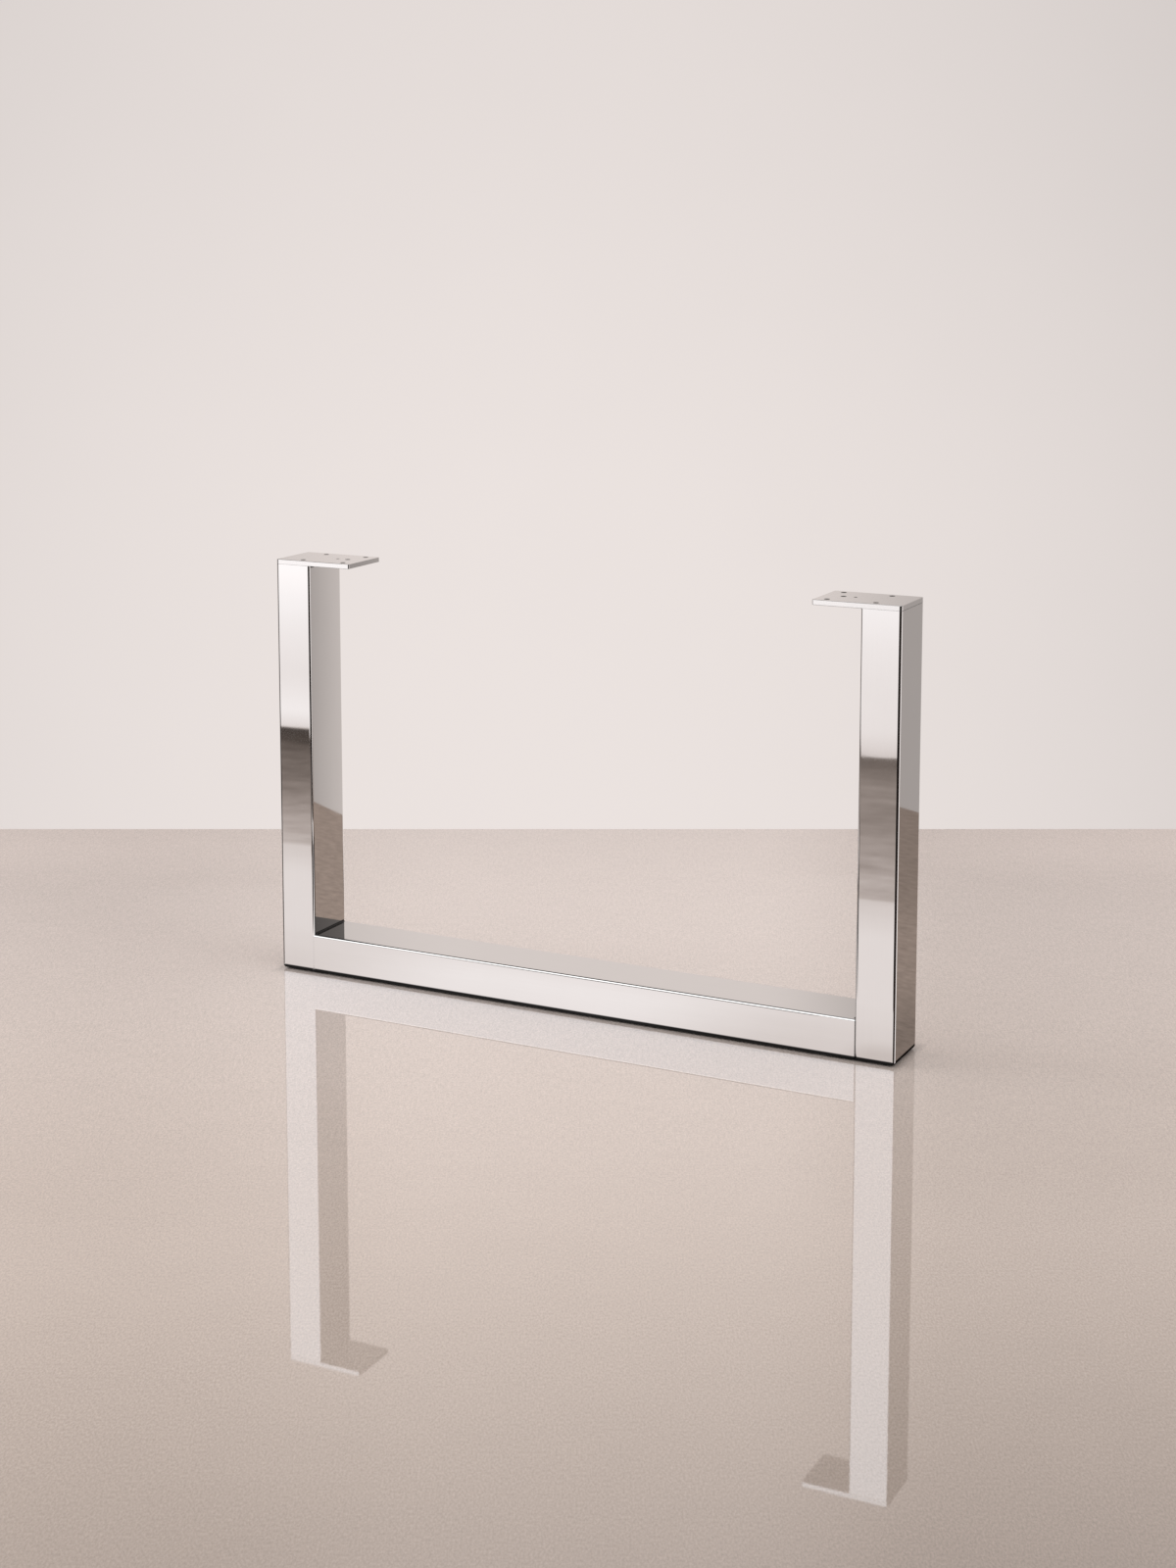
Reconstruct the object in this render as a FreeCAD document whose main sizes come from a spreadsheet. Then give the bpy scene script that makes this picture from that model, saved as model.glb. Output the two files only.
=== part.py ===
import FreeCAD, Part
import math
import os
import Sketcher

# A U-shaped table leg welded from rectangular steel tube: two uprights, a rail butted between
# them at the floor, and a drilled plate on top of each upright that reaches inwards.
# Millimetres. +X runs along the U, +Y towards the back, +Z up. The origin is on the floor, under
# the middle of the frame.

# Driving dimensions: alias, size, what it measures.
SIZES = [
    ("overall_length", 680, "over the outer faces of both uprights"),
    ("overall_height", 436, "from the floor to the top of the plates"),
    ("tube_face", 40, "narrow side of the tube, seen from the front"),
    ("tube_depth", 60, "broad side of the tube, front to back"),
    ("tube_wall", 2, "wall of the tube"),
    ("tube_corner", 2.5, "outer radius of the tube's corners"),
    ("plate_length", 88, "mounting plate, from its outer end to its free end"),
    ("plate_thickness", 5, "mounting plate"),
    ("plate_free_corner", 1.5, "radius of the two corners at the plate's free end"),
    ("edge_break", 0.3, "chamfer round the plate's upper and lower edge"),
    ("screw_hole", 5, "diameter of the table top's screw holes"),
    ("screw_margin", 12, "free end of the plate to the first pair of screw holes"),
    ("screw_pitch_long", 48, "from the first pair of screw holes to the second"),
    ("screw_pitch_deep", 44, "between the two holes of a pair"),
    ("middle_margin", 20, "free end of the plate to the screw hole on its centre line"),
    ("pilot_hole", 3, "diameter of the small locating hole"),
    ("pilot_margin", 32, "free end of the plate to the locating hole"),
    ("cap_thickness", 5, "closing plate under each upright"),
    ("foot_round", 3.5, "radius of the foot's lower edge at the outer end"),
    ("strip_thickness", 1, "rubber strip between the frame and the floor"),
    ("strip_inset", 4, "outer faces of the frame to the edge of the rubber strip"),
    ("strip_corner", 3, "corner radius of the rubber strip"),
    ("weld_reach", 2.2, "width of the weld strip over the upright's rounded corner"),
    ("weld_depth", 1.9, "depth of the weld's root below the front and back faces"),
    ("groove_depth", 0.9, "how far the right-hand weld stays below the surface"),
]

doc = FreeCAD.newDocument("u_shaped_table_leg")
sheet = doc.addObject("Spreadsheet::Sheet", "Sizes")
for row, (alias, number, meaning) in enumerate(SIZES, start=1):
    sheet.set("A%d" % row, meaning)
    sheet.set("B%d" % row, str(number))
    sheet.setAlias("B%d" % row, alias)
doc.recompute()

# Places that several pieces share.
UPRIGHT_AXIS = "(Sizes.overall_length - Sizes.tube_face) / 2"
FOOT_LEVEL = "Sizes.strip_thickness"
TUBE_FOOT = "(Sizes.strip_thickness + Sizes.cap_thickness)"
PLATE_SEAT = "(Sizes.overall_height - Sizes.plate_thickness)"
RAIL_LEVEL = "(Sizes.strip_thickness + Sizes.tube_face / 2)"
HALF_FACE = "Sizes.tube_face / 2"
HALF_DEPTH = "Sizes.tube_depth / 2"

# Which way a piece's outer end points: left pieces as drawn, right pieces turned half a turn.
LEFT, RIGHT = -1, 1

# Point numbers of sketch geometry, and the sketch's own origin and horizontal axis.
START, END, CENTRE = 1, 2, 3
ORIGIN_POINT = (-1, 1)
HORIZONTAL_AXIS = -1


def plane_of(body, role):
    """One of the body's own origin planes."""
    return next(item for item in body.Origin.OriginFeatures if item.Role == role)


def place(item, side, level):
    """Stands a piece on the axis of one upright, its +X pointing at the other upright."""
    half_turn = FreeCAD.Rotation(FreeCAD.Vector(0, 0, 1), 180 if side == RIGHT else 0)
    item.Placement = FreeCAD.Placement(FreeCAD.Vector(), half_turn)
    item.setExpression("Placement.Base.x", "%d * %s" % (side, UPRIGHT_AXIS))
    item.setExpression("Placement.Base.z", level)


def new_body(name):
    body = doc.addObject("PartDesign::Body", name)
    body.Label = name
    return body


def new_sketch(body, name, role, offset=None):
    """A sketch on one of the body's origin planes, or parallel to it at an offset."""
    sketch = body.newObject("Sketcher::SketchObject", name)
    sketch.AttachmentSupport = [(plane_of(body, role), "")]
    sketch.MapMode = "FlatFace"
    if offset is not None:
        sketch.setExpression("AttachmentOffset.Base.z", offset)
    return sketch


def bind(sketch, constraint, name, expression):
    """Adds a dimension to the sketch, names it and ties it to the sheet."""
    index = sketch.addConstraint(constraint)
    sketch.renameConstraint(index, name)
    sketch.setExpression("Constraints." + name, expression)


def rounded_rectangle(sketch, name, length, depth, radius, back=None, end_radius=None):
    """A rectangle with corner arcs, even about the horizontal axis. back is the distance from
    its left side to the origin, half the length unless given, and end_radius is the radius of
    the two right-hand corners, the same as the left-hand ones unless given. The points drawn
    here are only where the solver starts."""
    half_x, half_y, corner = 20.0, 15.0, 1.0
    point = FreeCAD.Vector
    first = sketch.GeometryCount
    sides = [
        (point(-half_x + corner, -half_y), point(half_x - corner, -half_y)),
        (point(half_x, -half_y + corner), point(half_x, half_y - corner)),
        (point(half_x - corner, half_y), point(-half_x + corner, half_y)),
        (point(-half_x, half_y - corner), point(-half_x, -half_y + corner)),
    ]
    for begin, finish in sides:
        sketch.addGeometry(Part.LineSegment(begin, finish), False)
    quarter = math.pi / 2
    for turn, (side_x, side_y) in enumerate([(1, -1), (1, 1), (-1, 1), (-1, -1)]):
        middle = point(side_x * (half_x - corner), side_y * (half_y - corner))
        circle = Part.Circle(middle, point(0, 0, 1), corner)
        start_angle = (turn - 1) * quarter
        sketch.addGeometry(Part.ArcOfCircle(circle, start_angle, start_angle + quarter), False)
    bottom, right, top, left, right_low, right_high, left_high, left_low = range(first, first + 8)
    loop = [bottom, right_low, right, right_high, top, left_high, left, left_low]
    for item, following in zip(loop, loop[1:] + loop[:1]):
        sketch.addConstraint(Sketcher.Constraint("Tangent", item, END, following, START))
    for line in (bottom, top):
        sketch.addConstraint(Sketcher.Constraint("Horizontal", line))
    sketch.addConstraint(Sketcher.Constraint("Vertical", right))
    sketch.addConstraint(Sketcher.Constraint("Equal", left_low, left_high))
    sketch.addConstraint(Sketcher.Constraint("Equal", right_low, right_high))
    even = Sketcher.Constraint("Symmetric", left, START, left, END, HORIZONTAL_AXIS)
    sketch.addConstraint(even)
    across = Sketcher.Constraint("DistanceX", left, START, right, START, 2 * half_x)
    bind(sketch, across, name + "_length", length)
    behind = Sketcher.Constraint("DistanceX", left, START, *ORIGIN_POINT, half_x)
    bind(sketch, behind, name + "_back", back or "(%s) / 2" % length)
    deep = Sketcher.Constraint("DistanceY", bottom, START, top, START, 2 * half_y)
    bind(sketch, deep, name + "_depth", depth)
    left_radius = Sketcher.Constraint("Radius", left_low, corner)
    bind(sketch, left_radius, name + "_radius", radius)
    right_radius = Sketcher.Constraint("Radius", right_low, corner)
    bind(sketch, right_radius, name + "_end_radius", end_radius or radius)


def tube_outline(sketch, length, depth):
    """The tube's outer outline, seen along the tube."""
    rounded_rectangle(sketch, "outer", length, depth, "Sizes.tube_corner")


def tube_section(sketch, length, depth):
    """The tube's outer outline and, one wall inside it, its bore."""
    tube_outline(sketch, length, depth)
    wall = " - 2 * Sizes.tube_wall"
    bore_radius = "Sizes.tube_corner - Sizes.tube_wall"
    rounded_rectangle(sketch, "bore", length + wall, depth + wall, bore_radius)


def pad(body, name, sketch, length, midplane=False):
    feature = body.newObject("PartDesign::Pad", name)
    feature.Profile = sketch
    feature.Midplane = midplane
    feature.setExpression("Length", length)
    return feature


def edges_at(shape, level):
    """Names of the edges that lie wholly at one height."""
    near = 1e-4
    names = []
    for number, edge in enumerate(shape.Edges, start=1):
        box = edge.BoundBox
        if abs(box.ZMin - level) < near and abs(box.ZMax - level) < near:
            names.append("Edge%d" % number)
    return names


def upright(name, side):
    """Rectangular tube that stands on its foot cap and reaches up to the plate."""
    body = new_body(name)
    place(body, side, TUBE_FOOT)
    section = new_sketch(body, name + "_section", "XY_Plane")
    tube_section(section, "Sizes.tube_face", "Sizes.tube_depth")
    pad(body, name + "_tube", section, "%s - %s" % (PLATE_SEAT, TUBE_FOOT))
    return body


def bottom_rail(name):
    """The same tube lying on the feet's level, cut square against the uprights' inner faces."""
    body = new_body(name)
    body.setExpression("Placement.Base.z", RAIL_LEVEL)
    section = new_sketch(body, name + "_section", "YZ_Plane")
    tube_section(section, "Sizes.tube_depth", "Sizes.tube_face")
    pad(body, name + "_tube", section, "Sizes.overall_length - 2 * Sizes.tube_face", midplane=True)
    return body


def pair_of_holes(sketch, name, free_end, margin):
    """Two screw circles, one each side of the centre line, at a margin from the free end."""
    front = sketch.addGeometry(Part.Circle(FreeCAD.Vector(10, -10), FreeCAD.Vector(0, 0, 1), 2))
    back = sketch.addGeometry(Part.Circle(FreeCAD.Vector(10, 10), FreeCAD.Vector(0, 0, 1), 2))
    level = (front, CENTRE, back, CENTRE)
    sketch.addConstraint(Sketcher.Constraint("Symmetric", *level, HORIZONTAL_AXIS))
    sketch.addConstraint(Sketcher.Constraint("Equal", front, back))
    bind(sketch, Sketcher.Constraint("DistanceY", *level, 20), name + "_pitch",
         "Sizes.screw_pitch_deep")
    to_end = Sketcher.Constraint("DistanceX", front, CENTRE, free_end, START, 10)
    bind(sketch, to_end, name + "_margin", margin)
    bind(sketch, Sketcher.Constraint("Diameter", front, 4), name + "_size", "Sizes.screw_hole")


def centre_line_hole(sketch, name, free_end, margin, diameter):
    """A circle on the centre line, at a margin from the free end."""
    hole = sketch.addGeometry(Part.Circle(FreeCAD.Vector(10, 0), FreeCAD.Vector(0, 0, 1), 2))
    sketch.addConstraint(Sketcher.Constraint("PointOnObject", hole, CENTRE, HORIZONTAL_AXIS))
    to_end = Sketcher.Constraint("DistanceX", hole, CENTRE, free_end, START, 10)
    bind(sketch, to_end, name + "_margin", margin)
    bind(sketch, Sketcher.Constraint("Diameter", hole, 4), name + "_size", diameter)


def free_end_point(sketch):
    """A construction point on the centre line at the plate's free end."""
    end = sketch.addGeometry(Part.Point(FreeCAD.Vector(50, 0)), True)
    sketch.addConstraint(Sketcher.Constraint("PointOnObject", end, START, HORIZONTAL_AXIS))
    reach = Sketcher.Constraint("DistanceX", *ORIGIN_POINT, end, START, 50)
    bind(sketch, reach, "free_end", "Sizes.plate_length - " + HALF_FACE)
    return end


def drill(body, name, sketch, diameter):
    """Plain holes through the plate, drilled from above."""
    hole = body.newObject("PartDesign::Hole", name)
    hole.Profile = sketch
    doc.recompute()
    hole.ThreadType = "None"
    hole.DepthType = "ThroughAll"
    hole.setExpression("Diameter", diameter)
    return hole


def mounting_plate(name, side):
    """Flat plate on the tube's open top, flush with its outer, front and back faces and with its
    corners, reaching inwards. Four screw holes stand in a rectangle, the outer two of them over
    the tube's bore. On the centre line lie a fifth screw hole and a small locating hole."""
    body = new_body(name)
    place(body, side, PLATE_SEAT)
    outline = new_sketch(body, name + "_outline", "XY_Plane")
    rounded_rectangle(outline, "plate", "Sizes.plate_length", "Sizes.tube_depth",
                      "Sizes.tube_corner", back=HALF_FACE, end_radius="Sizes.plate_free_corner")
    slab = pad(body, name + "_slab", outline, "Sizes.plate_thickness")
    doc.recompute()
    broken = body.newObject("PartDesign::Chamfer", name + "_edge_break")
    thickness = float(sheet.get("plate_thickness"))
    broken.Base = (slab, edges_at(slab.Shape, 0) + edges_at(slab.Shape, thickness))
    broken.setExpression("Size", "Sizes.edge_break")
    doc.recompute()
    screws = new_sketch(body, name + "_screw_places", "XY_Plane", "Sizes.plate_thickness")
    end = free_end_point(screws)
    pair_of_holes(screws, "inner", end, "Sizes.screw_margin")
    pair_of_holes(screws, "outer", end, "Sizes.screw_margin + Sizes.screw_pitch_long")
    centre_line_hole(screws, "middle", end, "Sizes.middle_margin", "Sizes.screw_hole")
    drill(body, name + "_screw_holes", screws, "Sizes.screw_hole")
    locating = new_sketch(body, name + "_locating_place", "XY_Plane", "Sizes.plate_thickness")
    end = free_end_point(locating)
    centre_line_hole(locating, "locating", end, "Sizes.pilot_margin", "Sizes.pilot_hole")
    drill(body, name + "_locating_hole", locating, "Sizes.pilot_hole")
    return body


def tube_prism(name, side, level, height):
    """A solid with the upright's outer outline, for trimming what meets the upright."""
    body = new_body(name)
    place(body, side, level)
    outline = new_sketch(body, name + "_outline", "XY_Plane")
    tube_outline(outline, "Sizes.tube_face", "Sizes.tube_depth")
    pad(body, name + "_solid", outline, height)
    return body


def foot_profile(sketch):
    """The foot cap seen from the front: a thin rectangle with its outer lower corner rounded. The
    points drawn here are only where the solver starts."""
    point = FreeCAD.Vector
    bottom = sketch.addGeometry(Part.LineSegment(point(-16, 0), point(20, 0)), False)
    inner = sketch.addGeometry(Part.LineSegment(point(20, 0), point(20, 5)), False)
    top = sketch.addGeometry(Part.LineSegment(point(20, 5), point(-20, 5)), False)
    outer = sketch.addGeometry(Part.LineSegment(point(-20, 5), point(-20, 4)), False)
    circle = Part.Circle(point(-16, 4), point(0, 0, 1), 4)
    corner = sketch.addGeometry(Part.ArcOfCircle(circle, math.pi, 1.5 * math.pi), False)
    for item, following in ((bottom, inner), (inner, top), (top, outer)):
        sketch.addConstraint(Sketcher.Constraint("Coincident", item, END, following, START))
    for item, following in ((outer, corner), (corner, bottom)):
        sketch.addConstraint(Sketcher.Constraint("Tangent", item, END, following, START))
    for line in (bottom, top):
        sketch.addConstraint(Sketcher.Constraint("Horizontal", line))
    for line in (inner, outer):
        sketch.addConstraint(Sketcher.Constraint("Vertical", line))
    on_level = Sketcher.Constraint("PointOnObject", inner, START, HORIZONTAL_AXIS)
    sketch.addConstraint(on_level)
    to_inner = Sketcher.Constraint("DistanceX", *ORIGIN_POINT, inner, START, 20)
    bind(sketch, to_inner, "inner_end", HALF_FACE)
    across = Sketcher.Constraint("DistanceX", top, END, top, START, 40)
    bind(sketch, across, "length", "Sizes.tube_face")
    high = Sketcher.Constraint("DistanceY", inner, START, inner, END, 5)
    bind(sketch, high, "thickness", "Sizes.cap_thickness")
    bind(sketch, Sketcher.Constraint("Radius", corner, 4), "outer_round", "Sizes.foot_round")


def front_and_back_edges(shape, half_depth, inner_end, top):
    """Names of the edges in the front and back faces, save those at the inner end and at the top."""
    near = 1e-4
    names = []
    for number, edge in enumerate(shape.Edges, start=1):
        box = edge.BoundBox
        in_face = box.YLength < near and abs(abs(box.YMin) - half_depth) < near
        at_inner_end = abs(box.XMin - inner_end) < near
        at_top = abs(box.ZMin - top) < near
        if in_face and not at_inner_end and not at_top:
            names.append("Edge%d" % number)
    return names


def foot_cap(name, side):
    """Closing plate welded under the upright. Its outer lower edge is rounded, and the tube's corner
    radius runs down from the upright, round the foot and along the bottom, where the rail takes it
    on. Beside the rail's end its corners are the tube's too, so the weld grooves run to the bottom."""
    body = new_body(name + "_rounded_slab")
    place(body, side, FOOT_LEVEL)
    profile = new_sketch(body, name + "_profile", "XZ_Plane")
    foot_profile(profile)
    slab = pad(body, name + "_slab", profile, "Sizes.tube_depth", midplane=True)
    doc.recompute()
    half_depth = float(sheet.get("tube_depth")) / 2
    inner_end = float(sheet.get("tube_face")) / 2
    thickness = float(sheet.get("cap_thickness"))
    rounded = body.newObject("PartDesign::Fillet", name + "_rounding")
    rounded.Base = (slab, front_and_back_edges(slab.Shape, half_depth, inner_end, thickness))
    rounded.setExpression("Radius", "Sizes.tube_corner")
    block = doc.addObject("Part::Box", name + "_rail_end")
    block.setExpression("Length", "2 * Sizes.tube_corner")
    block.setExpression("Width", "Sizes.tube_depth + 2 * Sizes.tube_corner")
    block.setExpression("Height", "Sizes.cap_thickness")
    rail_end = "%d * (%s - %s)" % (side, UPRIGHT_AXIS, HALF_FACE)
    block.setExpression("Placement.Base.x", rail_end + " - Sizes.tube_corner")
    block.setExpression("Placement.Base.y", "-%s - Sizes.tube_corner" % HALF_DEPTH)
    block.setExpression("Placement.Base.z", FOOT_LEVEL)
    grooves = doc.addObject("Part::Cut", name + "_grooves")
    grooves.Base = block
    grooves.Tool = tube_prism(name + "_tube", side, FOOT_LEVEL, "Sizes.cap_thickness")
    cap = doc.addObject("Part::Cut", name)
    cap.Label = name
    cap.Base = body
    cap.Tool = grooves
    return cap


def floor_strip(name):
    """Thin rubber strip stuck under the feet and the rail, on their flats."""
    body = new_body(name)
    outline = new_sketch(body, name + "_outline", "XY_Plane")
    inset = " - 2 * Sizes.strip_inset"
    rounded_rectangle(outline, "strip", "Sizes.overall_length" + inset, "Sizes.tube_depth" + inset,
                      "Sizes.strip_corner")
    pad(body, name + "_sheet", outline, "Sizes.strip_thickness")
    return body


def rail_weld(name, side, below):
    """Weld metal in the two grooves, front and back, that the upright's rounded corners leave
    beside the rail's end. below is how far its surface stays under the faces and the rail's
    rounded edges: nothing where it was dressed flush."""
    strip = new_body(name + "_strip")
    place(strip, side, RAIL_LEVEL)
    start = HALF_FACE + " - Sizes.weld_reach"
    section = new_sketch(strip, name + "_strip_section", "YZ_Plane", start)
    inset = " - 2 * %s" % below
    rounded_rectangle(section, "surface", "Sizes.tube_depth" + inset, "Sizes.tube_face" + inset,
                      "Sizes.tube_corner - " + below)
    pad(strip, name + "_strip_solid", section, "Sizes.weld_reach")
    tube = tube_prism(name + "_tube", side, FOOT_LEVEL, "Sizes.tube_face")
    beside_tube = doc.addObject("Part::Cut", name + "_beside_tube")
    beside_tube.Base = strip
    beside_tube.Tool = tube
    core = doc.addObject("Part::Box", name + "_core")
    core.setExpression("Length", "Sizes.overall_length")
    core.setExpression("Width", "Sizes.tube_depth - 2 * Sizes.weld_depth")
    core.setExpression("Height", "Sizes.tube_face")
    core.setExpression("Placement.Base.x", "-Sizes.overall_length / 2")
    core.setExpression("Placement.Base.y", "Sizes.weld_depth - " + HALF_DEPTH)
    core.setExpression("Placement.Base.z", FOOT_LEVEL)
    weld = doc.addObject("Part::Cut", name)
    weld.Label = name
    weld.Base = beside_tube
    weld.Tool = core
    return weld


pieces = [
    upright("left_upright", LEFT),
    upright("right_upright", RIGHT),
    bottom_rail("bottom_rail"),
    mounting_plate("left_mounting_plate", LEFT),
    mounting_plate("right_mounting_plate", RIGHT),
    foot_cap("left_foot_cap", LEFT),
    foot_cap("right_foot_cap", RIGHT),
    rail_weld("left_rail_weld", LEFT, "0"),
    rail_weld("right_rail_weld", RIGHT, "Sizes.groove_depth"),
    floor_strip("floor_strip"),
]
doc.recompute()

for item in doc.Objects:
    if "Invalid" in item.State or "Error" in item.State:
        raise RuntimeError("%s did not build: %s" % (item.Label, item.State))
for piece in pieces:
    if piece.Shape.isNull() or not piece.Shape.isValid() or not piece.Shape.Solids:
        raise RuntimeError(piece.Label + " has no valid solid")

os.makedirs("parts", exist_ok=True)
for piece in pieces:
    piece.Shape.exportStep("parts/%s.step" % piece.Label)
    size = piece.Shape.BoundBox
    print("%-22s %9.1f mm3, %d solid(s), z %.1f to %.1f" % (
        piece.Label, piece.Shape.Volume, len(piece.Shape.Solids), size.ZMin, size.ZMax))
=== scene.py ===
import math

import bpy
import numpy as np
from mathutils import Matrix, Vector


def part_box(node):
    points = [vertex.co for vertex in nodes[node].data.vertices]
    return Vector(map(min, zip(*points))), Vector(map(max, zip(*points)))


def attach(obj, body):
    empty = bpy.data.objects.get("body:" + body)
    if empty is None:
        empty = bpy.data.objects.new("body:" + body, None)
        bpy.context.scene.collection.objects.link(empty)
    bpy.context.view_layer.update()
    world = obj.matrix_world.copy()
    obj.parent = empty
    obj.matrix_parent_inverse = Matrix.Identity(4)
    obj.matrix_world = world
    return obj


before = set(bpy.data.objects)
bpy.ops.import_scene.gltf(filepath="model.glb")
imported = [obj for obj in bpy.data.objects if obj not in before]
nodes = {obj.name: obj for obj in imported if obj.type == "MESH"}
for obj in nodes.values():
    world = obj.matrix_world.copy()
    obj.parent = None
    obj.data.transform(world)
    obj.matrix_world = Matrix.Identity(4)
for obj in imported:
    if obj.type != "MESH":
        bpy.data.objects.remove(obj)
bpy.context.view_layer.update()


# Node trees

class Channel:
    """One output socket. Arithmetic with numbers and with other channels adds Math nodes."""

    def __init__(self, finish, socket):
        self.finish = finish
        self.socket = socket

    def math(self, operation, *values):
        inputs = dict(enumerate(values))
        return self.finish.node("ShaderNodeMath", {"operation": operation}, inputs)

    def __add__(self, other):
        return self.math("ADD", self, other)

    def __radd__(self, other):
        return self.math("ADD", other, self)

    def __sub__(self, other):
        return self.math("SUBTRACT", self, other)

    def __rsub__(self, other):
        return self.math("SUBTRACT", other, self)

    def __mul__(self, other):
        return self.math("MULTIPLY", self, other)

    def __rmul__(self, other):
        return self.math("MULTIPLY", other, self)

    def __truediv__(self, other):
        return self.math("DIVIDE", self, other)

    def __neg__(self):
        return self.math("MULTIPLY", self, -1.0)

    def magnitude(self):
        return self.math("ABSOLUTE", self)

    def root(self):
        return self.math("SQRT", self)

    def at_least(self, other):
        return self.math("MAXIMUM", self, other)

    def at_most(self, other):
        return self.math("MINIMUM", self, other)

    def bearing(self, forward):
        """The angle, in radians, from forward round to this side."""
        return self.math("ARCTAN2", self, forward)

    def rise(self, low, high):
        """0 below low, 1 above high, and an S-shaped rise between them."""
        return self.finish.node(
            "ShaderNodeMapRange",
            {"interpolation_type": "SMOOTHSTEP"},
            {"Value": self, "From Min": low, "From Max": high},
        )

    def window(self, opens, opened, closes, closed):
        """0 outside and 1 inside, with an S-shaped rise and an S-shaped fall."""
        return self.rise(opens, opened) * (1.0 - self.rise(closes, closed))


class Finish:
    """A node tree, with one method that makes any node."""

    def __init__(self, name, tree=None):
        if tree is None:
            self.material = bpy.data.materials.new(name)
            self.material.use_nodes = True
            tree = self.material.node_tree
        self.tree = tree
        self.tree.nodes.clear()

    def node(self, kind, settings=None, inputs=None, output=0):
        made = self.tree.nodes.new(kind)
        for key, value in (settings or {}).items():
            setattr(made, key, value)
        for key, value in (inputs or {}).items():
            if isinstance(value, Channel):
                self.tree.links.new(value.socket, made.inputs[key])
            else:
                made.inputs[key].default_value = value
        return Channel(self, made.outputs[output])

    def axes(self):
        """The X, Y and Z of a point in the frame of the whole object, in metres."""
        where = self.node("ShaderNodeTexCoord", output="Object")
        return [self.node("ShaderNodeSeparateXYZ", None, {0: where}, axis) for axis in "XYZ"]

    def point(self, x, y, z):
        return self.node("ShaderNodeCombineXYZ", None, {0: x, 1: y, 2: z})

    def clouds(self, place, scale, detail=2.0, roughness=0.5):
        """Soft random values between 0 and 1, with about scale lumps per metre."""
        return self.node(
            "ShaderNodeTexNoise",
            None,
            {"Vector": place, "Scale": scale, "Detail": detail, "Roughness": roughness},
        )

    def colour_between(self, factor, first, second):
        inputs = {0: factor, 6: first, 7: second}
        return self.node("ShaderNodeMix", {"data_type": "RGBA"}, inputs, 2)

    def toned(self, colour, tone):
        """The colour times a value."""
        settings = {"data_type": "RGBA", "blend_type": "MULTIPLY"}
        return self.node("ShaderNodeMix", settings, {0: 1.0, 6: colour, 7: tone}, 2)

    def relief(self, height, distance, strength=1.0):
        inputs = {"Strength": strength, "Distance": distance, "Height": height}
        return self.node("ShaderNodeBump", None, inputs)

    def light(self, colour, strength, kind="ShaderNodeEmission"):
        return self.node(kind, None, {"Color": colour, "Strength": strength})

    def rays(self, *kinds):
        """1 for the named kinds of ray, 0 for the others."""
        total = self.node("ShaderNodeLightPath", output=kinds[0])
        for kind in kinds[1:]:
            total = total + self.node("ShaderNodeLightPath", output=kind)
        return total.at_most(1.0)

    def second_mirror(self):
        """1 for a ray that has met two mirrors or more, 0 for the others."""
        return self.node("ShaderNodeLightPath", output="Glossy Depth").rise(1.4, 1.6)

    def blend(self, factor, first, second):
        """The first shader where the factor is 0, the second where it is 1."""
        return self.node("ShaderNodeMixShader", None, {0: factor, 1: first, 2: second})

    def close(self, shader, kind="ShaderNodeOutputMaterial"):
        end = self.tree.nodes.new(kind)
        self.tree.links.new(shader.socket, end.inputs["Surface"])

    def close_skin(self, colour, roughness, normal, metallic=0.0):
        inputs = {"Base Color": colour, "Metallic": metallic, "Roughness": roughness, "Normal": normal}
        self.close(self.node("ShaderNodeBsdfPrincipled", None, inputs))

    def close_front(self, shader):
        """The shader on the front of a panel. From behind the panel is clear."""
        behind = self.node("ShaderNodeNewGeometry", output="Backfacing")
        clear = self.node("ShaderNodeBsdfTransparent")
        self.close(self.blend(behind, shader, clear))


def level(value, tint=(1.0, 1.0, 1.0)):
    return (value * tint[0], value * tint[1], value * tint[2], 1.0)


def dress(node, finish):
    """The finish goes into every material slot of a CAD node."""
    slots = nodes[node].material_slots
    if not len(slots):
        nodes[node].data.materials.append(finish.material)
    for slot in nodes[node].material_slots:
        slot.material = finish.material


# Finishes of the leg

STEEL = (0.615, 0.612, 0.608)


def stretched(finish, axes, along, scale_along, scale_across):
    """The place, scaled one way along the named axis and another way across it."""
    scales = [scale_along if axis == along else scale_across for axis in "XYZ"]
    return finish.point(*(value * scale for value, scale in zip(axes, scales)))


def polished_steel(name, along):
    """Mirror-polished tube. along names the axis of the tube, which the polishing lay follows."""
    steel = Finish(name)
    axes = steel.axes()
    lay = steel.clouds(stretched(steel, axes, along, 12.0, 900.0), 1.0, 2.0, 0.6)
    wave = steel.clouds(stretched(steel, axes, along, 9.0, 14.0), 1.0, 1.0, 0.4)
    haze = steel.clouds(steel.point(*axes), 38.0, 4.0, 0.6)
    colour = steel.colour_between(haze * 0.5 + lay * 0.5, level(0.97, STEEL), level(1.03, STEEL))
    roughness = 0.02 + haze.rise(0.45, 0.8) * 0.02 + lay * 0.012
    steel.close_skin(colour, roughness, steel.relief(wave + lay * 0.008, 0.00006), metallic=1.0)
    return steel


PLATE_END = 0.252
PLATE_MIDDLE = 0.288
SCREW_PITCH_LONG = 0.048
SCREW_PITCH_DEEP = 0.044
SCREW_RADIUS = 0.0025
MIDDLE_HOLE = 0.272
LOCATING_HOLE = 0.284
LOCATING_RADIUS = 0.0015


def hole_shade_mask(from_centre_x, from_centre_y, radius):
    """1 inside a drilled hole, on its wall and on a thin ring round it, 0 outside: the mask of the
    holes' painted shade.
    """
    squared = from_centre_x * from_centre_x + from_centre_y * from_centre_y
    return 1.0 - squared.root().rise(radius + 0.0001, radius + 0.0006)


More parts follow.
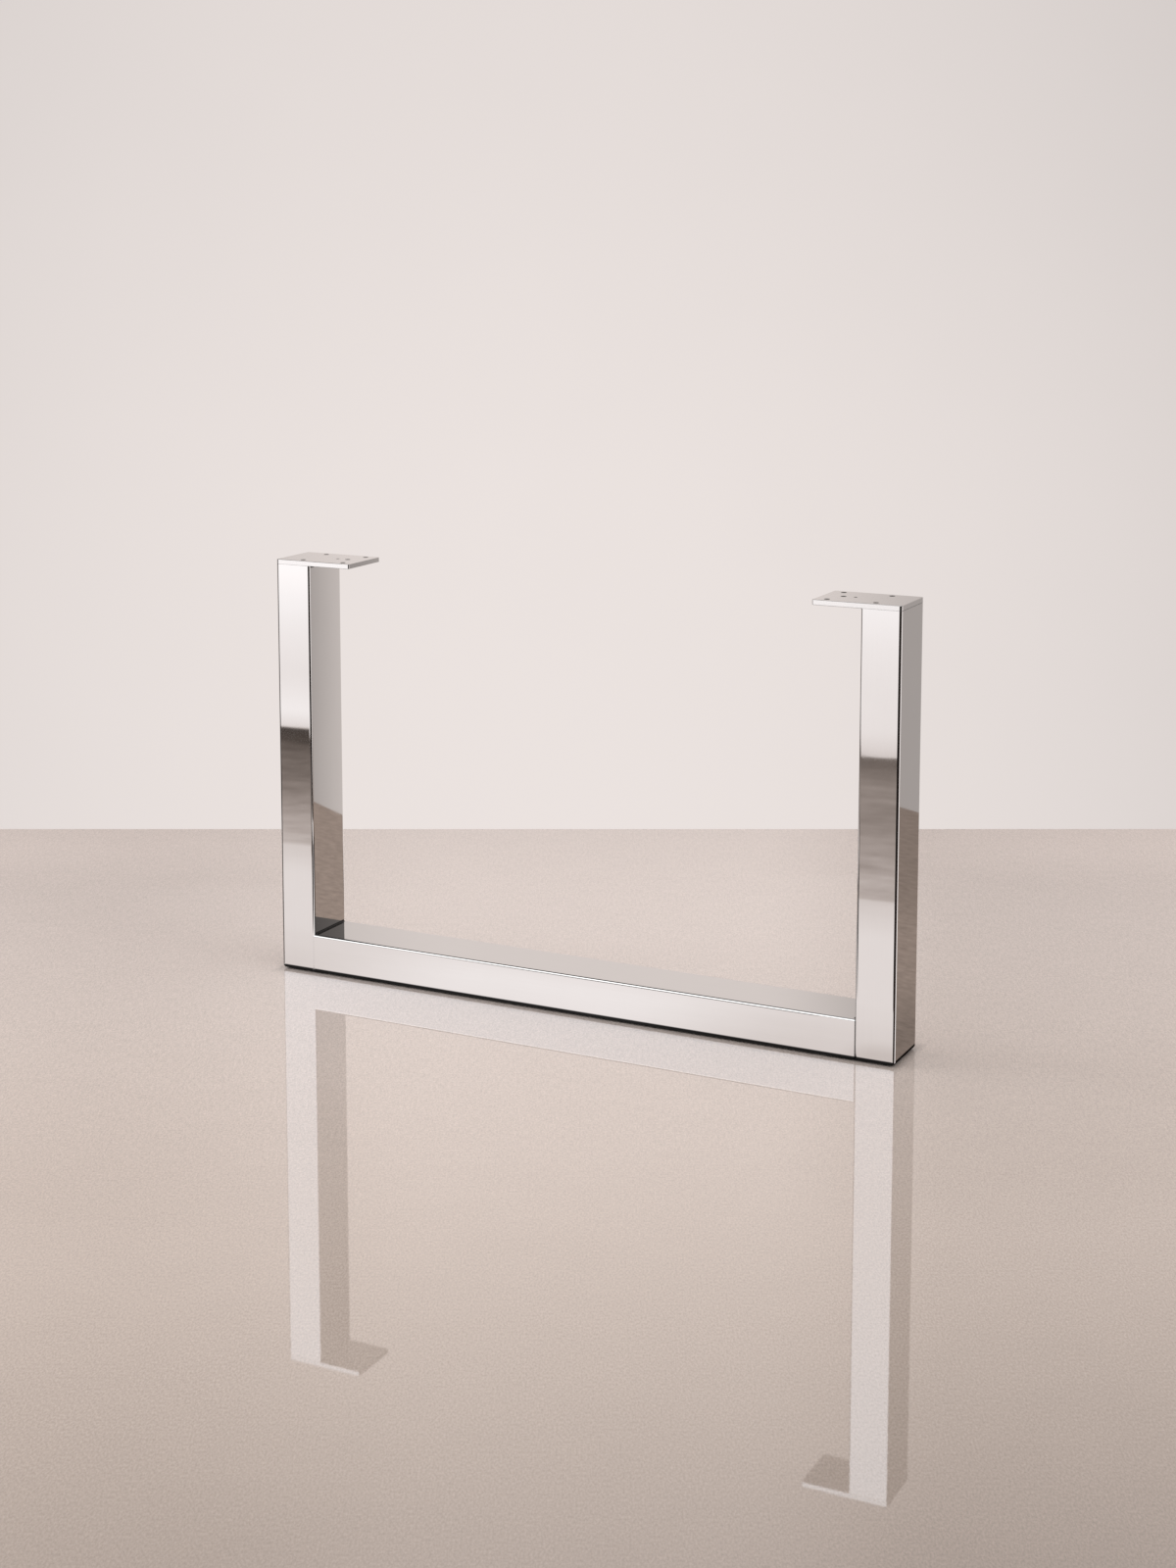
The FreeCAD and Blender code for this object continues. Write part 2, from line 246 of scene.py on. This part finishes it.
def polished_plate(name):
    """Flat bar polished along its length, a little softer than the tube.

    The holes and a thin ring round each are painted near-black as painted shade. The ends, cut off the
    bar with a saw, are rougher, and their colour is darkened as painted shade."""
    steel = Finish(name)
    x, y, z = steel.axes()
    here = steel.point(x, y, z)
    lay = steel.clouds(stretched(steel, (x, y, z), "X", 20.0, 1400.0), 1.0, 3.0, 0.6)
    haze = steel.clouds(here, 60.0, 4.0, 0.6)
    lengthwise = x.magnitude()
    corner_x = (lengthwise - PLATE_MIDDLE).magnitude() - SCREW_PITCH_LONG / 2
    corner_y = y.magnitude() - SCREW_PITCH_DEEP / 2
    corner_holes = hole_shade_mask(corner_x, corner_y, SCREW_RADIUS)
    middle_hole = hole_shade_mask(lengthwise - MIDDLE_HOLE, y, SCREW_RADIUS)
    locating_hole = hole_shade_mask(lengthwise - LOCATING_HOLE, y, LOCATING_RADIUS)
    # Painted shade: the holes and a thin ring round each are painted near-black.
    holes_and_painted_shade = corner_holes.at_least(middle_hole).at_least(locating_hole)
    # The ends are rougher, and their colour is darker as painted shade.
    sawn_end_and_shade = 1.0 - lengthwise.rise(PLATE_END + 0.00005, PLATE_END + 0.0003)
    polished = steel.colour_between(lay, level(0.93, STEEL), level(1.03, STEEL))
    polished_with_shaded_ends = steel.colour_between(sawn_end_and_shade, polished, level(0.84, STEEL))
    colour = steel.colour_between(holes_and_painted_shade, polished_with_shaded_ends, level(0.02))
    roughness = 0.07 + haze * 0.04 + lay * 0.04 + holes_and_painted_shade * 0.4 + sawn_end_and_shade * 0.06
    height = lay * 0.02 + steel.clouds(here, 18.0, 1.0, 0.4)
    steel.close_skin(colour, roughness, steel.relief(height, 0.00004), metallic=1.0)
    return steel


def weld_metal(name, brightness):
    """Filler metal. brightness is set against that of the polished tube. A low brightness is painted
    shade: the weld in the open groove and the seams in the inner corners are darkened as painted shade.
    """
    steel = Finish(name)
    grain = steel.clouds(steel.point(*steel.axes()), 900.0, 3.0, 0.6)
    dark, pale = level(0.9 * brightness, STEEL), level(1.02 * brightness, STEEL)
    colour = steel.colour_between(grain, dark, pale)
    roughness = 0.12 + grain * 0.1
    steel.close_skin(colour, roughness, steel.relief(grain, 0.00002, 0.4), metallic=1.0)
    return steel


def black_rubber_shade(name):
    """Thin sheet rubber with a fine pebbled skin. Its near-black colour is painted shade: the dark line
    where the rail meets the floor.
    """
    rubber = Finish(name)
    here = rubber.point(*rubber.axes())
    pebbles = rubber.clouds(here, 1500.0, 2.0, 0.5)
    wear = rubber.clouds(here, 60.0, 3.0, 0.6)
    colour = rubber.colour_between(wear, level(0.008), level(0.018, (1.0, 0.98, 0.95)))
    rubber.close_skin(colour, 0.75 + wear * 0.2, rubber.relief(pebbles, 0.0001, 0.5))
    return rubber


upright_steel = polished_steel("polished_upright_tube", "Z")
rail_steel = polished_steel("polished_rail_tube", "X")
plate_steel = polished_plate("polished_plate_bar")
flush_weld = weld_metal("flush_weld_metal", 1.0)
# Painted shade: the groove weld is darkened to 0.35 of the tube, and the corner seams to 0.03.
groove_weld_shade = weld_metal("groove_weld_painted_shade", 0.35)
seam_shade_weld = weld_metal("seam_weld_painted_shade", 0.03)
strip_rubber_shade = black_rubber_shade("floor_strip_painted_shade")

dress("left_upright", upright_steel)
dress("right_upright", upright_steel)
dress("bottom_rail", rail_steel)
dress("left_mounting_plate", plate_steel)
dress("right_mounting_plate", plate_steel)
dress("left_foot_cap", upright_steel)
dress("right_foot_cap", upright_steel)
dress("left_rail_weld", flush_weld)
dress("right_rail_weld", groove_weld_shade)
# The strip's near-black colour is painted shade under the rail.
dress("floor_strip", strip_rubber_shade)


# Seams in the inner corners, near-black as painted shade

SEAM_LEG = 0.0020
SEAM_SINK = 0.00005
SEAM_HALF_LENGTH = 0.0274
SEAM_SECTIONS = 265
HOLLOW_POINTS = 9
RIPPLE_PITCH = 0.0017
RIPPLE_HEIGHT = 0.00012


def seam(name, corner_x, corner_z, side, rise):
    """Small hollow weld seam along Y in the corner of two faces at right angles. Its near-black finish
    is painted shade in the corner.

    At each place along Y the leg is SEAM_LEG plus a sine ripple. The hollow face is a quarter circle
    around the point one leg out from both faces, and two more edges close the section in the corner.
    side and rise, each 1 or -1, say which way from the corner the seam lies along X and along Z."""
    y_line = np.linspace(-SEAM_HALF_LENGTH, SEAM_HALF_LENGTH, SEAM_SECTIONS)
    leg = SEAM_LEG + RIPPLE_HEIGHT * np.sin(2 * math.pi * y_line / RIPPLE_PITCH)
    turn = np.linspace(0.0, math.pi / 2, HOLLOW_POINTS)
    out = leg[:, None] * (1.0 - np.cos(turn))
    up = leg[:, None] * (1.0 - np.sin(turn))
    sunk = np.full((SEAM_SECTIONS, 1), -SEAM_SINK)
    out = np.hstack([out, out[:, -1:], sunk, sunk])
    up = np.hstack([up, sunk, sunk, up[:, :1]])
    x = corner_x + side * out
    z = corner_z + rise * up
    y = np.broadcast_to(y_line[:, None], x.shape)
    points = np.stack([x, y, z], axis=-1)
    rows, ring = x.shape
    row, step = np.meshgrid(np.arange(rows - 1), np.arange(ring), indexing="ij")
    here = row * ring + step
    beside = row * ring + (step + 1) % ring
    quads = np.stack([here, beside, beside + ring, here + ring], axis=-1).reshape(-1, 4)
    ends = [np.arange(ring)[::-1].tolist(), (np.arange(ring) + (rows - 1) * ring).tolist()]
    faces = quads.tolist() + ends
    if side * rise < 0:
        faces = [face[::-1] for face in faces]
    mesh = bpy.data.meshes.new(name)
    mesh.from_pydata(points.reshape(-1, 3).tolist(), [], faces)
    smooth = np.ones(len(faces), dtype=bool)
    smooth[-len(ends):] = False
    mesh.polygons.foreach_set("use_smooth", smooth)
    piece = bpy.data.objects.new(name, mesh)
    bpy.context.scene.collection.objects.link(piece)
    mesh.materials.append(seam_shade_weld.material)
    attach(piece, "root")


inner_face, _, rail_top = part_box("bottom_rail")[1]
plate_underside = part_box("left_mounting_plate")[0][2]
seam("left_rail_seam", -inner_face, rail_top, 1, 1)
seam("right_rail_seam", inner_face, rail_top, -1, 1)
seam("left_plate_seam", -inner_face, plate_underside, 1, -1)
seam("right_plate_seam", inner_face, plate_underside, -1, -1)


# Camera

IMAGE_HEIGHT = 1600.0
FOCAL_PIXELS = 2490.0
AXIS_ROW = 540.0
SENSOR = 36.0
YAW = 0.4650
PITCH = 0.1288
EYE = (1.0674, -2.1169, 0.7904)

camera_data = bpy.data.cameras.new("camera")
camera_data.sensor_width = SENSOR
camera_data.lens = FOCAL_PIXELS / IMAGE_HEIGHT * SENSOR
camera_data.shift_y = -(IMAGE_HEIGHT / 2 - AXIS_ROW) / IMAGE_HEIGHT
camera_data.clip_start = 0.05
camera_data.clip_end = 100.0
camera = bpy.data.objects.new("camera", camera_data)
camera.location = EYE
camera.rotation_euler = (math.pi / 2 - PITCH, 0.0, YAW)
bpy.context.scene.collection.objects.link(camera)
bpy.context.scene.camera = camera


# Studio: floor, wall and light. It is square to the camera's first place.

ahead = np.array([-math.sin(YAW), math.cos(YAW), 0.0])
sideways = np.array([math.cos(YAW), math.sin(YAW), 0.0])
FLOOR_HALF = 9.0
WALL_AHEAD = 0.7107
WALL_HEIGHT = 1.5
CARD_AHEAD = 0.464
CARD_HEIGHT = 0.75
CARD_TURN = 0.065
HALF_WIDTH = 6.0


def flat_panel(name, corner, first, second, finish):
    """A flat panel: corner + u first + v second, for u and v from 0 to 1."""
    u, v = np.meshgrid([0.0, 1.0], [0.0, 1.0], indexing="ij")
    points = np.array(corner) + u[..., None] * np.array(first) + v[..., None] * np.array(second)
    mesh = bpy.data.meshes.new(name)
    mesh.from_pydata(points.reshape(-1, 3).tolist(), [], [(0, 2, 3, 1)])
    mesh.materials.append(finish.material)
    panel = bpy.data.objects.new(name, mesh)
    bpy.context.scene.collection.objects.link(panel)
    return panel


def along(direction, x, y):
    """How far a place lies in a level direction from the middle of the leg, in metres."""
    return x * float(direction[0]) + y * float(direction[1])


STONE = (0.600, 0.520, 0.481)
WARM_STONE = (STONE[0], STONE[1] * 0.96, STONE[2] * 0.91, 1.0)
COOL_STONE = (STONE[0], STONE[1] * 1.018, STONE[2] * 1.04, 1.0)

POOL_LEVEL = 1.05
POOL_FALL_RIGHT = 0.07
POOL_RISE_BACK = 0.14
POOL_CURVE_ACROSS = 0.09
POOL_CURVE_BACK = 0.30
POOL_TWIST = 0.12
POOL_FAR_CORNERS = 0.15
POOL_LEAST = 0.5

FOOT_X = 0.34
INNER_X = 0.30
FACE_Y = 0.03

# How bright the studio's floor is in front of the leg, as mirror rays see it, in parts of FULL_LIGHT.
# The band's edges are in metres from the middle of the leg.
FULL_LIGHT = 1.8
NEAR_LEVEL = 0.59
BAND_LEVEL = 0.41
FAR_LEVEL = 0.59
BAND_NEAR_EDGE = (0.52, 0.545)
BAND_FAR_EDGE = (1.29, 1.298)

# Sectors of the floor around the uprights' front edges, in radians from straight in front, painted dark
# or white into the light that mirror rays see. From the camera's first place only the rounded edges
# mirror them, as painted dark and white lines along the edges.
OUTER_RIGHT_DARK = (0.06, 0.12, 1.43, 1.50)
OUTER_RIGHT_WHITE = (1.74, 1.82, 2.25, 2.40)
OUTER_LEFT_DARK = (0.66, 0.74, 2.6, 2.7)
OUTER_LEFT_CLEAR = (1.43, 1.50, 1.66, 1.74)
INNER_LEFT_DARK = (0.02, 0.1, 1.60, 1.68)
INNER_RIGHT_DARK = (1.62, 1.70, 2.75, 2.85)


def gap_from_leg(x, y):
    """How far a place on the floor lies from the leg's footprint, rising faster past its ends."""
    past_end = (x.magnitude() - FOOT_X) * 2.4 + 0.005
    beside = y.magnitude() - 0.025
    return past_end.at_least(beside)


def stone_surface(floor, x, y, z, gap):
    """Pale glossy stone with painted light in its colour: a pool of light whose level is a quadratic in
    the place, brighter far corners, painted shade behind the wall and painted shade by the leg's foot.
    """
    across = along(sideways, x, y)
    away = along(ahead, x, y)
    back = away.at_most(WALL_AHEAD)
    pool = (
        POOL_LEVEL - across * POOL_FALL_RIGHT + back * POOL_RISE_BACK
        + across * across * POOL_CURVE_ACROSS - back * back * POOL_CURVE_BACK
        + across * back * POOL_TWIST
    )
    # Painted light: the far corners of the floor are brightened.
    far_corner_light = away.rise(0.42, 0.64) * across.magnitude().rise(0.15, 0.6)
    pool = (pool + far_corner_light * POOL_FAR_CORNERS).at_least(POOL_LEAST)
    # Painted shade: the floor behind the wall is darkened.
    behind_wall = away.rise(WALL_AHEAD - 0.0004, WALL_AHEAD)
    pool = pool * (1.0 - behind_wall * 0.16)
    grains = floor.clouds(floor.point(across, away * 0.45, z), 680.0, 2.0, 0.7)
    lumps = floor.clouds(floor.point(across, away * 0.22, z), 330.0, 2.0, 0.7)
    speckle = (grains - 0.5) * 0.75 + (lumps - 0.5) * away.rise(-0.8, -0.1) * 0.34
    cloud = floor.clouds(floor.point(x, y, z), 18.0, 4.0, 0.5)
    foot_shade = 1.0 - gap.rise(0.005, 0.026)
    tone = pool * (1.0 - foot_shade * 0.3) * (0.97 + speckle + cloud * 0.06)
    stone = floor.colour_between(away.rise(-1.1, 0.5), WARM_STONE, COOL_STONE)
    return floor.node(
        "ShaderNodeBsdfPrincipled",
        None,
        {
            "Base Color": floor.toned(stone, tone),
            "Roughness": 0.015,
            "IOR": 1.9,
            "Normal": floor.relief(speckle, 0.0002, 0.015),
        },
    )


def levels_in_front(reach):
    """Pale by the leg, then a dark band that darkens in two stages, then bright and brighter."""
    near = NEAR_LEVEL + reach.rise(0.0, 0.22) * 0.08 - reach.rise(0.38, 0.54) * 0.09
    band = BAND_LEVEL - reach.rise(0.5, 0.96) * 0.165 - reach.rise(1.1, 1.26) * 0.115
    far = FAR_LEVEL + reach.rise(1.25, 1.5) * 0.125 + reach.rise(1.4, 4.2) * 0.21
    past_near = reach.rise(*BAND_NEAR_EDGE)
    past_band = reach.rise(*BAND_FAR_EDGE)
    levels = near * (1.0 - past_near) + band * past_near
    return levels * (1.0 - past_band) + far * past_band


def light_in_front(floor, x, y, depth):
    """The levels over the distance in front, with streaks and ripples in the dark band.

    On the left the band is darker far out and the floor beyond it brighter. The floor by the middle
    of the rail is lifted, and the floor by the right foot held down."""
    streak = floor.clouds(floor.point(x * 3.0, y * 30.0, 0.0), 1.0, 3.0, 0.6)
    ripples = floor.clouds(floor.point(x * 14.0 + y * 5.0, y * 17.0, 0.0), 1.0, 3.0, 0.6)
    reach = depth + (streak - 0.5) * 0.05
    on_left = (-x).rise(0.15, 0.6)
    levels = levels_in_front(reach + on_left * 0.01)
    in_band = reach.window(0.5, 0.56, 1.28, 1.30)
    falls_sooner = on_left * in_band * (0.1 - (reach - 0.56) * 1.05)
    past_band = on_left * reach.window(1.28, 1.30, 1.35, 1.9) * 0.13
    wavy = ((streak - 0.5) * 0.5 + (ripples - 0.5) * 0.75) * in_band
    at_right_foot = x.rise(0.27, 0.31) * (1.0 - depth.rise(0.05, 0.10)) * 0.14
    by_the_middle = 1.0 - (x + 0.06).magnitude().rise(0.08, 0.3)
    by_the_rail = 1.0 - depth.rise(0.08, 0.22)
    levels = levels * (1.0 + falls_sooner + past_band + wavy - at_right_foot)
    return levels + by_the_middle * by_the_rail * 0.14


def light_behind(floor, x, y):
    """The dimmer, brownish floor behind the leg, with the grain of the stone."""
    right = 0.28 + y.rise(0.05, 0.25) * 0.11 - y.rise(0.35, 0.6) * 0.07
    left = 0.47
    on_right = x.rise(0.0, FOOT_X)
    even = (right * on_right + (1.0 - on_right) * left) / FULL_LIGHT
    across = along(sideways, x, y)
    away = along(ahead, x, y)
    grit = floor.clouds(floor.point(across * 60.0, away * 110.0, 0.0), 1.0, 3.0, 0.7)
    return even * (1.0 + (grit - 0.5) * 0.75)


def edge_sectors(x, y, depth):
    """Two masks, for the dark sectors and the white one. Two strips stay free of the inner edges'
    dark: the floor that the right upright's front face mirrors, and the floor that the left
    upright's inner face mirrors."""
    forward = -(y + FACE_Y)
    outer_right = (x - FOOT_X).bearing(forward)
    outer_left = (-(x + FOOT_X)).bearing(forward)
    inner_left = (x + INNER_X).bearing(forward)
    inner_right = (-(x - INNER_X)).bearing(forward)
    off_front_strip = (x - 0.32 - (y + FACE_Y) * 0.359).magnitude().rise(0.05, 0.07)
    off_inner_strip = (x + INNER_X - y * 0.667).magnitude().rise(0.07, 0.09)
    beyond_rail = depth.rise(0.17, 0.19)
    inside_u = (x + INNER_X).rise(0.0, 0.02)
    dark = outer_right.window(*OUTER_RIGHT_DARK)
    clear = outer_left.window(*OUTER_LEFT_CLEAR)
    dark = dark.at_least(outer_left.window(*OUTER_LEFT_DARK) * (1.0 - clear))
    dark = dark.at_least(inner_left.window(*INNER_LEFT_DARK) * off_front_strip * beyond_rail)
    dark = dark.at_least(inner_right.window(*INNER_RIGHT_DARK) * off_inner_strip * inside_u)
    return dark, outer_right.window(*OUTER_RIGHT_WHITE)


def floor_finish():
    """Pale glossy stone. Mirror rays see painted light instead: the floor glows as the lit studio
    around the set, with painted shade right by the leg.

    depth is the distance in front of the leg, counted less on the right, where the band lies
    further out."""
    floor = Finish("studio_floor")
    x, y, z = floor.axes()
    gap = gap_from_leg(x, y)
    depth = -y / (1.0 + x * 0.18)
    beside_foot = x.rise(FOOT_X - 0.0005, FOOT_X + 0.0005) * y.rise(-0.032, -0.028)
    behind_leg = y.rise(-0.01, 0.01).at_least(beside_foot)
    front = light_in_front(floor, x, y, depth)
    back = light_behind(floor, x, y)
    seen = front * (1.0 - behind_leg) + back * behind_leg
    dark, white = edge_sectors(x, y, depth)
    seen = seen * (1.0 - dark * 0.97)
    seen = seen * (1.0 - white) + white * 0.95
    # Painted shade: mirror rays see the floor darken right beside the leg.
    contact_shade = gap.rise(0.0165, 0.0195) * 0.98 + 0.02
    tint = floor.colour_between((seen * 1.2).at_most(1.0), (1.0, 0.78, 0.67, 1), (1.0, 0.955, 0.955, 1))
    tint = floor.colour_between(behind_leg * (1.0 - white), tint, (1.0, 0.78, 0.665, 1))
    glow = floor.light(tint, seen * contact_shade * FULL_LIGHT)
    stone = stone_surface(floor, x, y, z, gap)
    floor.close(floor.blend(floor.rays("Is Glossy Ray"), stone, glow))
    floor.material.cycles.emission_sampling = "NONE"
    return floor


def card_light(finish, x, y, z):
    """What mirror rays see behind the leg: palest in the middle, and much dimmer in a second mirror."""
    across = along(sideways, x, y)
    sides = across.rise(0.2, 0.47) + (-across).rise(0.15, 0.6)
    pale = 0.96 - sides * (0.5 - z.rise(0.35, 0.48) * 0.17) + across.rise(0.5, 0.9) * 0.065
    pale = pale * (1.0 - z.rise(0.3, 0.75) * 0.06)
    pale = pale * (1.0 - finish.second_mirror() * (0.68 + z.rise(0.36, 0.45) * 0.26))
    return finish.light((1.0, 0.905, 0.865, 1), pale)


def card_finish():
    """Card behind the leg that only mirror rays see. It is no lamp: it glows with painted light, palest
    in the middle, as a painted reflection.
    """
    card = Finish("studio_card")
    card.close_front(card_light(card, *card.axes()))
    card.material.cycles.emission_sampling = "NONE"
    return card


def wall_finish():
    """Off-white paper wall. The camera sees it glow with painted light, brightest behind the leg,
    falling off towards both sides and a little darker towards the top.
    """
    wall = Finish("studio_wall")
    x, y, z = wall.axes()
    off_centre = along(sideways, x, y) + 0.10
    shade = (off_centre * off_centre * 0.17).at_most(0.4)
    top = z.rise(0.3, 1.2) * 0.075
    cloud = wall.clouds(wall.point(x, y, z), 5.0, 3.0, 0.5)
    glow = 1.0 - shade - top + (cloud - 0.5) * 0.02
    shown = wall.light(wall.colour_between(glow, (0, 0, 0, 1), (0.83, 0.765, 0.74, 1)), 1.0)
    paper = wall.node("ShaderNodeBsdfDiffuse", None, {"Color": (0.8, 0.75, 0.72, 1)})
    seen = wall.blend(wall.rays("Is Camera Ray", "Is Transmission Ray"), paper, shown)
    wall.close_front(wall.blend(wall.rays("Is Glossy Ray"), seen, card_light(wall, x, y, z)))
    wall.material.cycles.emission_sampling = "NONE"
    return wall


def studio_world():
    """Even white light. Mirror rays see a front that is brighter higher up, dim sides and back, and
    a pale ceiling. In a first mirror the front is dimmer low down and the sides are grey."""
    world = bpy.data.worlds.new("studio")
    world.use_nodes = True
    bpy.context.scene.world = world
    air = Finish("studio", world.node_tree)
    where = air.node("ShaderNodeTexCoord", output="Generated")
    back = air.node("ShaderNodeSeparateXYZ", None, {0: where}, "Y")
    up = air.node("ShaderNodeSeparateXYZ", None, {0: where}, "Z")
    front = (-back).rise(0.35, 0.45)
    first = 1.0 - air.second_mirror()
    low_front = up.rise(0.06, 0.15) * (0.9 - first * 0.75)
    high_front = up.rise(0.34, 0.52) * (1.35 + first * 0.75)
    front_level = 0.75 + low_front + high_front - up.rise(0.58, 0.72) * 1.2
    side_level = (1.0 - up.rise(0.45, 0.6)) * first * 0.5 + up.rise(0.915, 0.95) * 0.9
    mirror_level = 0.05 + front * front_level + (1.0 - front) * side_level
    neutral = first.at_least(up.rise(0.45, 0.6))
    mirror_colour = air.colour_between(neutral, (0.97, 0.99, 1.06, 1), (1.0, 0.99, 0.99, 1))
    mirror = air.light(mirror_colour, mirror_level, "ShaderNodeBackground")
    plain = air.light((1.0, 0.985, 0.97, 1), 1.0, "ShaderNodeBackground")
    shown = air.light((0.78, 0.72, 0.70, 1), 1.0, "ShaderNodeBackground")
    lit = air.blend(air.rays("Is Glossy Ray"), plain, mirror)
    air.close(air.blend(air.rays("Is Camera Ray"), lit, shown), "ShaderNodeOutputWorld")


LAMP_WIDTH = 1.2


def soft_lamp(name, place, watts):
    """A square soft lamp that looks at the middle of the leg's foot. Mirror rays don't see it."""
    data = bpy.data.lights.new(name, "AREA")
    data.shape = "SQUARE"
    data.size = LAMP_WIDTH
    data.energy = watts
    lamp = bpy.data.objects.new(name, data)
    lamp.location = place
    east, north, height = place
    turn = math.atan2(-north, -east) - math.pi / 2
    lamp.rotation_euler = (math.atan2(math.hypot(east, north), height), 0.0, turn)
    lamp.visible_glossy = False
    lamp.visible_camera = False
    bpy.context.scene.collection.objects.link(lamp)


floor_side = 2 * FLOOR_HALF
flat_panel(
    "studio_floor", (-FLOOR_HALF, -FLOOR_HALF, 0.0),
    (floor_side, 0.0, 0.0), (0.0, floor_side, 0.0), floor_finish(),
)
flat_panel(
    "studio_wall", ahead * WALL_AHEAD - sideways * HALF_WIDTH,
    sideways * 2 * HALF_WIDTH, (0.0, 0.0, WALL_HEIGHT), wall_finish(),
)
card_run = sideways + ahead * CARD_TURN
card = flat_panel(
    "studio_card", ahead * CARD_AHEAD - card_run * HALF_WIDTH,
    card_run * 2 * HALF_WIDTH, (0.0, 0.0, CARD_HEIGHT), card_finish(),
)
card.visible_camera = False
card.visible_diffuse = False
card.visible_shadow = False
card.visible_transmission = False
studio_world()
soft_lamp("left_softbox", (-2.2, -0.6, 1.7), 12.0)
soft_lamp("right_softbox", (2.4, -0.2, 1.7), 10.0)

bpy.context.scene.view_settings.view_transform = "Standard"
